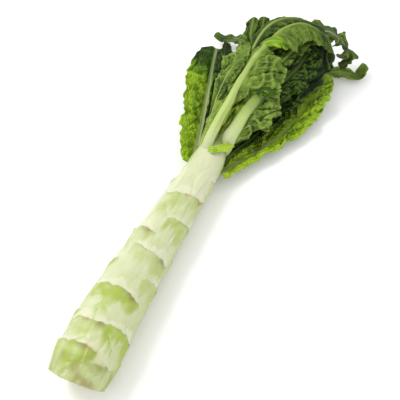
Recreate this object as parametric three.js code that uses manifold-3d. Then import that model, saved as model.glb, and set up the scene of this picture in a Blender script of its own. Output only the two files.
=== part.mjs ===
// Celtuce (stem lettuce) lying on a surface: one thick peeled stem with leaf scars, cut on the slant
// at its base, and a head of leaves that all grow from the crown and from the short shoot inside it.
// Units are millimetres and +Z is up. The stem runs along +Y from its cut base to the leaf tips.
import * as THREE from "three";
import { mergeVertices } from "three/addons/utils/BufferGeometryUtils.js";
import Module from "manifold-3d";

const wasm = await Module();
wasm.setup();

// Driving dimensions
const STEM_SIDES = 24;
const STEM_CUT_SLOPE = 0.53;
const SCAR_STEP = 1.3;
const SCAR_RUN = 18;
const SCAR_LIP = 0.8;
const BLADE_THICKNESS = 1.6;
const PETIOLE_THICKNESS = 4.5;
const NARROW_LEAF = 12;
const CONTACT_GAP = 0.3;

// Finish of the two kinds of surface
const STEM_COLOUR = "#d3deb0";
const STEM_ROUGHNESS = 0.45;
const LEAF_ROUGHNESS = 0.55;

// Mesh settings
const FEWEST_ROWS = 8;
const MERGE_TOLERANCE = 1e-4;
const DEGREE = Math.PI / 180;

// Stem stations: how far from the base, radius, sideways bow, height of the centre, and how much of the
// slant of the cut the ring there keeps
const STEM_STATIONS = [
  { y: 0, radius: 28, x: 0, z: 31, slant: 1 },
  { y: 12, radius: 30.5, x: -1, z: 31, slant: 0.9 },
  { y: 40, radius: 31, x: -3, z: 31, slant: 0.5 },
  { y: 80, radius: 29, x: -5, z: 29.5, slant: 0 },
  { y: 130, radius: 26, x: -5, z: 28, slant: 0 },
  { y: 183, radius: 23, x: -4, z: 27, slant: 0 },
  { y: 235, radius: 20, x: -2, z: 26, slant: 0 },
  { y: 285, radius: 18, x: 0, z: 26, slant: 0 },
  { y: 298, radius: 17, x: 0, z: 28, slant: 0 },
  { y: 325, radius: 10, x: 0, z: 32, slant: 0 },
  { y: 360, radius: 6.5, x: 3, z: 38, slant: 0 },
  { y: 385, radius: 3, x: 6, z: 42, slant: 0 },
];

// Leaf scars: distance from the base, angle round the stem (90 is on top, 0 at +X) and half of the angle
// that the scar spans, in degrees
const SCARS = [
  { y: 25, angle: 125, span: 60 },
  { y: 36, angle: -60, span: 60 },
  { y: 52, angle: 50, span: 70 },
  { y: 66, angle: 205, span: 60 },
  { y: 93, angle: 90, span: 60 },
  { y: 104, angle: -70, span: 60 },
  { y: 118, angle: 25, span: 50 },
  { y: 135, angle: 190, span: 55 },
  { y: 150, angle: 70, span: 55 },
  { y: 164, angle: -60, span: 55 },
  { y: 176, angle: 150, span: 50 },
  { y: 198, angle: 30, span: 50 },
  { y: 212, angle: -110, span: 60 },
  { y: 232, angle: 75, span: 60 },
  { y: 252, angle: 200, span: 60 },
  { y: 262, angle: -40, span: 60 },
];

// Leaves, from the lowest to the highest. Each has its midrib from the crown to the tip, the way that its
// face looks, its half-widths to the left and right of the midrib at even steps, the fold of both halves
// up from the midrib, and how far each margin curls, in degrees (a minus sign curls it away from the face).
const LEAVES = [
  {
    name: "under_leaf_left", colour: "#47702a",
    midrib: [[-8, 286, 7], [-20, 330, 7], [-34, 372, 8], [-42, 410, 9], [-44, 445, 8]],
    face: [[0, 0, 1]], left: [5, 16, 26, 24, 8], right: [5, 12, 18, 18, 8], fold: [22, 14],
  },
  {
    name: "under_leaf_right", colour: "#4b742c",
    midrib: [[8, 286, 7], [22, 330, 7], [34, 372, 5], [38, 410, 5], [36, 445, 7]],
    face: [[0, 0, 1]], left: [5, 12, 18, 18, 8], right: [5, 12, 18, 18, 8], fold: [22, 14],
  },
  {
    name: "left_outer_leaf", colour: "#6c9a1c",
    midrib: [[-13, 284, 16], [-22, 308, 19], [-30, 336, 20], [-38, 361, 22], [-46, 388, 25],
      [-54, 414, 28], [-60, 436, 28]],
    face: [[0.5, 0, 1], [0.3, 0, 1]],
    left: [16, 22, 24, 25, 25, 22, 12], right: [4, 6, 8, 10, 10, 8, 4], fold: [25, 20], curlLeft: [-30, -30],
  },
  {
    name: "right_outer_leaf", colour: "#6f9c1e",
    midrib: [[14, 286, 15], [33, 327, 12], [47, 356, 10], [58, 391, 11], [62, 432, 13], [67, 465, 17]],
    face: [[-0.3, 0.2, 1]],
    left: [6, 10, 14, 18, 16, 6], right: [8, 9, 12, 17, 18, 7], fold: [20, 20], curlRight: [-40, -40],
  },
  {
    name: "right_finger_leaf", colour: "#4f7434",
    midrib: [[10, 312, 20], [28, 370, 19], [42, 420, 20], [58, 462, 13], [75, 482, 8], [94, 487, 6],
      [100, 496, 12]],
    face: [[0, 0, 1]], left: [4, 5, 6, 5, 5, 5, 3], right: [4, 5, 6, 5, 5, 5, 3],
  },
  {
    name: "back_left_leaf", colour: "#3c5a24",
    midrib: [[-12, 294, 30], [-24, 345, 28], [-36, 389, 30], [-44, 421, 34], [-53, 447, 32]],
    face: [[0.7, 0, 0.7]], left: [4, 10, 12, 9, 3], right: [5, 16, 22, 18, 5],
  },
  {
    name: "right_inner_leaf", colour: "#3f6a22",
    midrib: [[13, 296, 27], [30, 339, 27], [42, 372, 29], [49, 403, 33], [52, 435, 33]],
    face: [[-0.6, 0, 0.8]], left: [4, 11, 15, 14, 6], right: [4, 9, 11, 10, 5],
  },
  {
    name: "vertical_dark_leaf", colour: "#3a5628",
    midrib: [[9, 316, 34], [29, 370, 34], [44, 405, 37], [54, 434, 41], [60, 450, 50], [58, 462, 60],
      [50, 469, 66]],
    face: [[0.5, -0.3, 1]], left: [4, 5, 7, 10, 11, 10, 4], right: [4, 5, 7, 8, 7, 6, 3],
  },
  {
    name: "left_finger_leaf", colour: "#4c7030",
    midrib: [[-2, 340, 38], [-10, 395, 40], [-16, 436, 38], [-34, 458, 30], [-52, 465, 20], [-66, 465, 14],
      [-76, 467, 14]],
    face: [[0, 0, 1]], left: [4, 5, 6, 6, 5, 4, 3], right: [4, 5, 6, 6, 5, 4, 3],
  },
  {
    name: "upright_leaf_1", colour: "#5a8038",
    midrib: [[3, 362, 41], [0, 395, 46], [-8, 418, 55], [-15, 428, 66], [-21, 436, 76], [-25, 452, 84]],
    face: [[0, -0.5, 1]], left: [3, 4, 5, 8, 9, 3], right: [3, 4, 5, 6, 6, 5],
  },
  {
    name: "upright_leaf_2", colour: "#56803a",
    midrib: [[3, 375, 41], [3, 405, 47], [0, 425, 57], [-4, 437, 69], [-9, 447, 78], [-11, 456, 86]],
    face: [[0, -0.5, 1]], left: [3, 4, 5, 8, 8, 3], right: [3, 4, 5, 8, 8, 3],
  },
  {
    name: "inner_folds_leaf", colour: "#466a2c",
    midrib: [[6, 335, 38], [16, 362, 43], [24, 382, 47], [34, 405, 54], [43, 429, 61], [47, 458, 66]],
    face: [[0.2, -0.2, 1]], left: [4, 6, 12, 22, 26, 16], right: [4, 6, 10, 14, 16, 12],
  },
  {
    name: "right_mid_leaf", colour: "#83ab5b",
    midrib: [[8, 294, 38], [13, 326, 48], [17, 345, 56], [22, 368, 62], [29, 397, 65]],
    face: [[0.2, -0.3, 1]], left: [5, 7, 9, 10, 8], right: [5, 14, 26, 30, 20],
  },
  {
    name: "inner_dark_leaf", colour: "#476c2c",
    midrib: [[1, 300, 44], [5, 340, 53], [9, 367, 60], [15, 390, 64]],
    face: [[0, 0, 1]], left: [4, 9, 12, 8], right: [4, 6, 8, 8],
  },
  {
    name: "far_droop_leaf", colour: "#3f5c2a",
    midrib: [[6, 365, 42], [17, 398, 58], [30, 428, 70], [43, 460, 77], [56, 480, 70], [70, 488, 54],
      [80, 488, 38]],
    face: [[0, 0.3, 1]], left: [4, 4, 5, 8, 7, 7, 3], right: [4, 4, 5, 6, 6, 6, 3],
  },
  {
    name: "arch_leaf_1", colour: "#6d9242",
    midrib: [[-1, 338, 40], [-6, 372, 52], [-7, 395, 64], [-6, 416, 78], [-1, 439, 90], [11, 455, 94],
      [27, 465, 91], [44, 472, 83], [53, 477, 76]],
    face: [[0, 0.3, 1]], left: [4, 4, 4, 6, 6, 6, 5, 4, 2], right: [4, 4, 4, 8, 12, 14, 12, 8, 4],
    curlLeft: [-10, -60], curlRight: [-10, -60],
  },
  {
    name: "arch_leaf_2", colour: "#76994a",
    midrib: [[6, 372, 42], [10, 395, 54], [12, 405, 69], [14, 417, 84], [21, 435, 94], [34, 451, 98],
      [49, 458, 92], [63, 461, 78], [71, 460, 64]],
    face: [[0, 0.3, 1]], left: [3, 3, 3, 5, 6, 6, 6, 6, 3], right: [3, 3, 4, 12, 24, 24, 14, 9, 3],
    curlLeft: [-10, -50], curlRight: [-10, -80],
  },
  {
    name: "main_leaf", colour: "#8fb260",
    midrib: [[-6, 284, 43], [-7, 322, 60], [-5, 344, 68], [0, 365, 76], [3, 388, 82], [4, 404, 86],
      [6, 422, 88]],
    face: [[-0.2, -0.2, 1]],
    left: [4, 12, 21, 25, 23, 18, 8], right: [4, 5, 5, 14, 30, 29, 12],
    curlLeft: [-30, -40], curlRight: [-30, -30],
  },
  {
    name: "overlap_leaf", colour: "#6b9440",
    midrib: [[-13, 290, 38], [-16, 322, 62], [-17, 345, 74], [-14, 366, 83], [-10, 390, 89], [-12, 417, 86]],
    face: [[-0.2, -0.2, 1]], left: [2, 2, 3, 8, 15, 6], right: [2, 2, 3, 6, 7, 3],
  },
  {
    name: "bright_fold_leaf", colour: "#83ad1d",
    midrib: [[5, 378, 42], [8, 408, 54], [9, 425, 67], [8, 434, 78], [19, 436, 83], [32, 431, 79]],
    face: [[0, -0.3, 1]], left: [2, 3, 3, 5, 5, 3], right: [2, 3, 3, 5, 5, 3],
  },
  {
    name: "crown_leaflet", colour: "#8db32c",
    midrib: [[3, 284, 43], [7, 298, 51], [12, 308, 55]],
    face: [[0.2, -0.3, 1]], left: [4, 5, 3], right: [4, 5, 3],
  },
];

// A list of numbers followed smoothly from its first value at 0 to its last at 1
function follow(values, share) {
  const points = values.map((value) => new THREE.Vector3(value, 0, 0));
  if (points.length === 1) return values[0];
  return new THREE.CatmullRomCurve3(points, false, "catmullrom", 0.5).getPoint(share).x;
}

function followVector(vectors, share) {
  const [x, y, z] = [0, 1, 2].map((axis) => follow(vectors.map((vector) => vector[axis]), share));
  return new THREE.Vector3(x, y, z);
}

function geometryOf(positions, faces) {
  const geometry = new THREE.BufferGeometry();
  geometry.setAttribute("position", new THREE.Float32BufferAttribute(positions, 3));
  geometry.setIndex(faces);
  return geometry;
}

// Manifold solids are used only to trim the pieces where they meet
function toSolid(geometry) {
  const bare = geometry.clone();
  bare.deleteAttribute("normal");
  bare.deleteAttribute("uv");
  const merged = mergeVertices(bare, MERGE_TOLERANCE);
  return new wasm.Manifold(new wasm.Mesh({
    numProp: 3,
    vertProperties: new Float32Array(merged.attributes.position.array),
    triVerts: new Uint32Array(merged.index.array),
  }));
}

function toGeometry(solid) {
  const mesh = solid.getMesh();
  return geometryOf(mesh.vertProperties, [...mesh.triVerts]);
}

// Height of the stepped skin over the round stem: each scar has a lip that falls away towards the base
function scarHeight(y, angle) {
  let height = 0;
  for (const scar of SCARS) {
    const behind = scar.y - y;
    if (behind < 0 || behind > SCAR_RUN) continue;
    const turn = Math.abs(THREE.MathUtils.euclideanModulo(angle - scar.angle + 180, 360) - 180);
    if (turn > scar.span) continue;
    const across = Math.cos((turn / scar.span) * 90 * DEGREE);
    height = Math.max(height, SCAR_STEP * Math.sqrt(across) * (1 - behind / SCAR_RUN));
  }
  return height;
}

function stationAt(y) {
  const above = Math.max(1, STEM_STATIONS.findIndex((station) => station.y >= y));
  const low = STEM_STATIONS[above - 1];
  const high = STEM_STATIONS[above];
  const share = (y - low.y) / (high.y - low.y);
  const mix = (key) => THREE.MathUtils.lerp(low[key], high[key], share);
  return { radius: mix("radius"), x: mix("x"), z: mix("z"), slant: mix("slant") };
}

// The stem, lofted through rings at its stations and at both sides of each scar's lip
function stemGeometry(grow) {
  const heights = new Set(STEM_STATIONS.map((station) => station.y));
  for (const scar of SCARS) {
    heights.add(scar.y - SCAR_LIP / 2);
    heights.add(scar.y + SCAR_LIP / 2);
  }
  const rings = [...heights].sort((a, b) => a - b);
  const positions = [];
  for (const y of rings) {
    const { radius, x, z, slant } = stationAt(y);
    for (let side = 0; side < STEM_SIDES; side += 1) {
      const angle = (side / STEM_SIDES) * 360;
      const reach = radius + scarHeight(y, angle) + grow;
      const across = reach * Math.cos(angle * DEGREE);
      const up = reach * Math.sin(angle * DEGREE);
      positions.push(x + across, y - slant * STEM_CUT_SLOPE * up, Math.max(z + up, -grow));
    }
  }
  const faces = [];
  for (let ring = 0; ring + 1 < rings.length; ring += 1) {
    for (let side = 0; side < STEM_SIDES; side += 1) {
      const next = (side + 1) % STEM_SIDES;
      const [a, b] = [ring * STEM_SIDES + side, ring * STEM_SIDES + next];
      const [c, d] = [a + STEM_SIDES, b + STEM_SIDES];
      faces.push(a, c, b, b, c, d);
    }
  }
  for (let side = 1; side + 1 < STEM_SIDES; side += 1) {
    const top = (rings.length - 1) * STEM_SIDES;
    faces.push(0, side, side + 1);
    faces.push(top, top + side + 1, top + side);
  }
  return geometryOf(positions, faces);
}

// One leaf: a thin folded and curled blade about its midrib, thicker along the petiole
function leafGeometry(leaf, grow) {
  const spine = new THREE.CatmullRomCurve3(
    leaf.midrib.map((point) => new THREE.Vector3(...point)), false, "catmullrom", 0.5);
  const rows = Math.max(FEWEST_ROWS, 2 * (leaf.midrib.length - 1));
  const columns = Math.max(...leaf.left, ...leaf.right) < NARROW_LEAF ? 2 : 3;
  const fronts = [];
  const backs = [];
  for (let row = 0; row <= rows; row += 1) {
    const share = row / rows;
    const centre = spine.getPoint(share);
    const along = spine.getTangent(share);
    const face = followVector(leaf.face, share);
    face.addScaledVector(along, -face.dot(along)).normalize();
    const across = new THREE.Vector3().crossVectors(along, face);
    const overrun = (row === 0 ? -grow : 0) + (row === rows ? grow : 0);
    centre.addScaledVector(along, overrun);
    const fold = follow(leaf.fold ?? [0], share);
    for (let column = -columns; column <= columns; column += 1) {
      const side = Math.sign(column);
      const width = follow(side < 0 ? leaf.left : leaf.right, share) + grow;
      const curl = follow((side < 0 ? leaf.curlLeft : leaf.curlRight) ?? [0], share);
      const steps = Math.abs(column);
      let [out, rise] = [0, 0];
      for (let step = 0; step < steps; step += 1) {
        const bend = (fold + (curl * (step + 0.5)) / columns) * DEGREE;
        out += (Math.cos(bend) * width) / columns;
        rise += (Math.sin(bend) * width) / columns;
      }
      const tilt = (fold + (curl * steps) / columns) * DEGREE * Math.abs(side);
      const normal = face.clone().multiplyScalar(Math.cos(tilt));
      normal.addScaledVector(across, -side * Math.sin(tilt));
      const point = centre.clone().addScaledVector(across, side * out).addScaledVector(face, rise);
      const edge = steps / columns;
      const petiole = (PETIOLE_THICKNESS - BLADE_THICKNESS) * (1 - share) * (1 - edge);
      const half = (BLADE_THICKNESS + petiole) / 2 + grow;
      fronts.push(point.clone().addScaledVector(normal, half));
      backs.push(point.clone().addScaledVector(normal, -half));
    }
  }
  const positions = [...fronts, ...backs].flatMap((point) => point.toArray());
  const span = 2 * columns + 1;
  const front = (row, column) => row * span + column;
  const back = (row, column) => fronts.length + row * span + column;
  const faces = [];
  const quad = (a, b, c, d) => faces.push(a, b, c, a, c, d);
  for (let row = 0; row < rows; row += 1) {
    for (let column = 0; column + 1 < span; column += 1) {
      const [next, beside] = [row + 1, column + 1];
      quad(front(row, column), front(row, beside), front(next, beside), front(next, column));
      quad(back(row, column), back(next, column), back(next, beside), back(row, beside));
    }
    quad(front(row, 0), front(row + 1, 0), back(row + 1, 0), back(row, 0));
    quad(front(row + 1, span - 1), front(row, span - 1), back(row, span - 1), back(row + 1, span - 1));
  }
  for (let column = 0; column + 1 < span; column += 1) {
    const beside = column + 1;
    quad(front(0, beside), front(0, column), back(0, column), back(0, beside));
    quad(front(rows, column), front(rows, beside), back(rows, beside), back(rows, column));
  }
  return geometryOf(positions, faces);
}

// What is left of a piece after the others have been cut from it, without any crumbs
function largestPart(solid) {
  const parts = solid.decompose();
  return parts.reduce((best, part) => (part.volume() > best.volume() ? part : best));
}

function pieceMesh(name, geometry, colour, roughness) {
  const material = new THREE.MeshStandardMaterial({ color: colour, roughness, metalness: 0 });
  const mesh = new THREE.Mesh(geometry, material);
  mesh.name = name;
  return mesh;
}

const celtuce = new THREE.Group();
celtuce.add(pieceMesh("stem", toGeometry(toSolid(stemGeometry(0))), STEM_COLOUR, STEM_ROUGHNESS));

let taken = toSolid(stemGeometry(CONTACT_GAP));
for (const leaf of LEAVES) {
  const trimmed = largestPart(toSolid(leafGeometry(leaf, 0)).subtract(taken));
  celtuce.add(pieceMesh(leaf.name, toGeometry(trimmed), leaf.colour, LEAF_ROUGHNESS));
  taken = taken.add(toSolid(leafGeometry(leaf, CONTACT_GAP)));
}

// The origin is under the middle of the whole celtuce, on the surface that it lies on
const bounds = new THREE.Box3().setFromObject(celtuce);
const middle = bounds.getCenter(new THREE.Vector3());
celtuce.position.set(-middle.x, -middle.y, -bounds.min.z);
celtuce.updateMatrixWorld(true);

export default celtuce;
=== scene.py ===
"""Celtuce lying on a pale floor: a thick peeled stem with leaf scars and a head of crumpled leaves.

Sizes are millimetres in the part's own construction frame: +Y runs along the stem from the middle of its
cut base to the leaf tips, +Z is up and the floor is at 0. place() turns them into the row frame.
"""
import math

import bpy
import numpy as np
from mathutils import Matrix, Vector


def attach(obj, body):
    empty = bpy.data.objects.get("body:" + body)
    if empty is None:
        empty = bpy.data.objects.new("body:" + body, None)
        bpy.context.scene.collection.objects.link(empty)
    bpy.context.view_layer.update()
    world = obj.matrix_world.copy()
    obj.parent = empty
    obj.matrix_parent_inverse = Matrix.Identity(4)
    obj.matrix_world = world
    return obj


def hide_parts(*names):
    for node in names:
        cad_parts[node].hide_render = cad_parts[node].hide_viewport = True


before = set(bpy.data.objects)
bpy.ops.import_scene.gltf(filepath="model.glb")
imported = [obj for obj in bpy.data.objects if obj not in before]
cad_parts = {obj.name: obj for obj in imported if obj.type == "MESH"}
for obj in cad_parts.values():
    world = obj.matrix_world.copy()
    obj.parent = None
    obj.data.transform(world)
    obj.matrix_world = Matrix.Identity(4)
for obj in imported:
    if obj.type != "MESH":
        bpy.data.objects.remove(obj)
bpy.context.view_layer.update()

MM = 0.001

# Mesh spacing
LEAF_SPACING = 1.0
STEM_SPACING = 0.8
STEM_SIDES = 192
MIDRIB_SAMPLES = 60

# Stem stations: distance from the base, radius, sideways bow, height of the centre, share of the slant
STEM_STATIONS = [
    (0, 28, 0, 31, 1), (12, 30.5, -1, 31, 0.9), (40, 31, -3, 31, 0.5), (80, 29, -5, 29.5, 0),
    (130, 26, -5, 28, 0), (183, 23, -4, 27, 0), (235, 20, -2, 26, 0), (285, 18, 0, 26, 0),
    (298, 17, 0, 28, 0), (325, 10, 0, 32, 0), (360, 6.5, 3, 38, 0), (385, 3, 6, 42, 0),
]
SHOOT_TIP = (6, 385, 42)

# Where the stem ends and the shoot starts, how far its greener part and the rind at its base reach, how
# far the cut leans back for each millimetre of height, how far the corners at the stations are eased, how
# many rings the cut face has from its rim to its middle, and how far out its brown ring is
CROWN = 300
GREENER_PART = 210
RIND_LENGTH = 20
STEM_CUT_SLOPE = 0.53
STATION_BLEND = 7
CUT_RINGS = 26
CUT_RING_MARK = 0.86

# The radius that turns angles round the stem into millimetres for its patterns, and the size of the flat
# strips that peeling leaves
MEAN_RADIUS = 27
FACET_WIDTH = 15
FACET_LENGTH = 34

# How high a scar's lip stands, how far on its base side that runs out, how wide the lip's slope is, and
# where on a scar its olive bud mark is, from -1 at its low-angle end to 1 at its high-angle end
SCAR_STEP = 2.2
SCAR_RUN = 20
SCAR_LIP = 0.9
BUD_SHARE = -0.5

# Leaf scars: distance from the base, angle round the stem (90 is on top, 0 at +X), half of its span, how
# much further from the base it is at its high-angle end, how far its middle sags to the base, the length
# of the rind patch on its base side, how green that is, and the length of the pale lens on its other side
SCARS = [
    (9, 66, 55, -11, 0, 8, 0.1, 6), (25, 118, 58, 2, 2, 24, 1.0, 5),
    (36, -60, 66, 3, 4, 20, 0.7, 8), (51, 104, 46, -1, 0, 20, 0.5, 13),
    (54, 22, 48, 0, -3, 32, 1.0, 12), (66, 205, 66, 4, 5, 20, 0.8, 10),
    (93, 92, 68, 1, -2, 34, 0.9, 10), (104, -70, 66, 3, 5, 18, 0.6, 12),
    (119, 12, 44, -3, -4, 24, 0.45, 10), (135, 190, 62, 4, 5, 20, 0.6, 10),
    (150, 60, 58, 0, 1, 32, 0.45, 12), (164, -60, 62, 3, 4, 18, 0.4, 10),
    (174, 136, 54, 2, 0, 24, 0.4, 10), (197, 26, 56, -4, -3, 28, 0.5, 12),
    (212, -110, 64, 3, 4, 18, 0.3, 10), (232, 62, 72, -8, 2, 30, 0.42, 12),
    (252, 200, 64, 3, 4, 16, 0.25, 8), (262, -40, 64, 3, 4, 16, 0.25, 8),
]

# Colours, as they look on a screen
STEM_PALE = "#D7DCB2"
STEM_CREAM = "#E2E4C2"
STEM_GREEN = "#BECA80"
RIND_GREEN = "#A6BC3E"
RIND_OLIVE = "#868240"
SCAR_LINE = "#8E8D48"
SCAR_TAN = "#B99C58"
CUT_PITH = "#DDE0B4"
CUT_FIBRE = "#BDB877"
CUT_BROWN = "#A9814C"

# The factors that the grain darkens and lightens the paint by, the roughness of each kind of leaf and of
# the stem, and how deep the fine relief is in millimetres
LEAF_SHADES = (0.42, 1.1)
STEM_SHADES = (0.7, 0.9)
UPPER_ROUGHNESS = 0.42
LOWER_ROUGHNESS = 0.56
SHADED_ROUGHNESS = 0.5
ROUGHNESS_SPREAD = 0.12
STEM_ROUGHNESS = (0.28, 0.52)
UPPER_NETWORK = 0.8
LOWER_NETWORK = 0.9
STEM_FIBRES = 0.25

# Each palette has the colours of a blade's hollows, its body and its tops, and of its midrib and veins. The
# hollows' colour carries painted shade and the tops' colour carries painted light. The dark palette is
# painted shade, for leaves and sides that lie in the shade inside the head.
PALETTES = {
    "bright": ("#466E08", "#80A81A", "#B2D238", "#C8DC80"),
    "mottled": ("#34560A", "#759E14", "#AACE2C", "#BCC888"),
    "dark": ("#101A05", "#2A420D", "#50701E", "#64802E"),
    "underside": ("#30480F", "#6B882C", "#96B04A", "#C6DA80"),
    "smooth": ("#283C0C", "#587220", "#829A3E", "#98B058"),
}

# What leaves of a kind have in common: those under the head, the outer ones, the narrow rolled ones, the
# inner ones, painted dark as shade, those that stand up, those that arch, those with a broad petiole and
# the bright ones
UNDER_LEAF = {
    "fold": [32, 24], "sink": -4, "drape": (0.25, -40), "ruffle": 38, "wave": 36, "blister": 3,
    "shows": "mottled", "hides": "underside", "slot": "leaf_dark", "cavity": 0.4,
}
OUTER_LEAF = {"shows": "mottled", "hides": "underside", "slot": "leaf_bright", "margin": 0.9}
FINGER_LEAF = {
    "drape": (0.25, 60), "ruffle": 60, "under": True, "shows": "smooth", "hides": "smooth",
    "slot": "leaf_dark",
}
DARK_LEAF = {"shows": "dark", "slot": "leaf_dark"}
UPRIGHT_LEAF = {
    "face": [(0, -0.5, 1)], "drape": (0.4, 60), "ruffle": 70, "wave": 18, "ragged": 0.5, "torn": 0.3,
    "crumple": 3, "crease": 3, "under": True, "shows": "smooth", "hides": "dark",
    "slot": "leaf_underside", "light": -0.2,
}
ARCH_LEAF = {
    "face": [(0, 0.3, 1)], "blister": 0.8, "crumple": 1.6, "under": True, "shows": "smooth",
    "hides": "dark", "slot": "leaf_underside",
}
PETIOLE_LEAF = {
    "sink": 9, "under": True, "shows": "underside", "hides": "dark", "slot": "leaf_underside",
    "mottle": 0.55,
}
BRIGHT_LEAF = {"crumple": 3, "shows": "bright", "hides": "underside", "slot": "leaf_bright"}

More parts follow.
